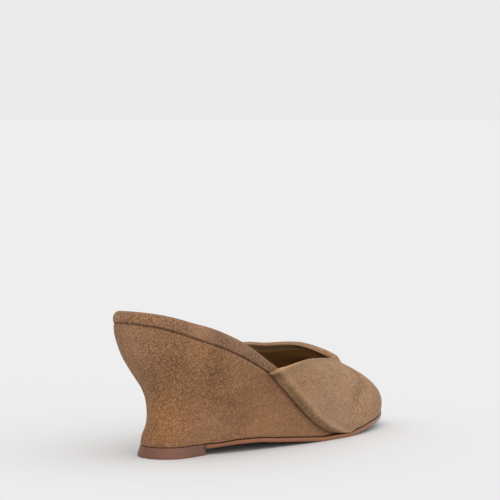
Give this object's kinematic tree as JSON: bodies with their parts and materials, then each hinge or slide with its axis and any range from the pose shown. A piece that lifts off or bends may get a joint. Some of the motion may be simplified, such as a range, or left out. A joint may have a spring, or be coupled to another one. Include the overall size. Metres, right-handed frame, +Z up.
{
  "type": "wedge mule",
  "caption": "Closed-toe suede wedge mule for the right foot, open at the back, with a padded footbed, a scooped wedge heel and a thin leather sole.",
  "frame": {"origin": "middle of the bottom of the shoe's box, on the ground", "axes": "+Y from the back of the heel to the toe, +X to the outer side of the foot, +Z up"},
  "size_m": [0.076, 0.2414, 0.0935],
  "materials": {
    "suede_vamp": "matt light brown suede",
    "suede_wedge": "matt brown suede",
    "suede_rim": "matt brown suede",
    "sock_leather": "smooth brown leather",
    "sole_leather": "burnished tan leather",
    "lift_rubber": "satin brown top piece"
  },
  "bodies": {
    "root": {"outsole": "sole_leather", "heel_lift": "lift_rubber", "wedge": "suede_wedge", "footbed": "suede_rim", "insole": "sock_leather", "vamp": "suede_vamp"}
  },
  "joints": []
}
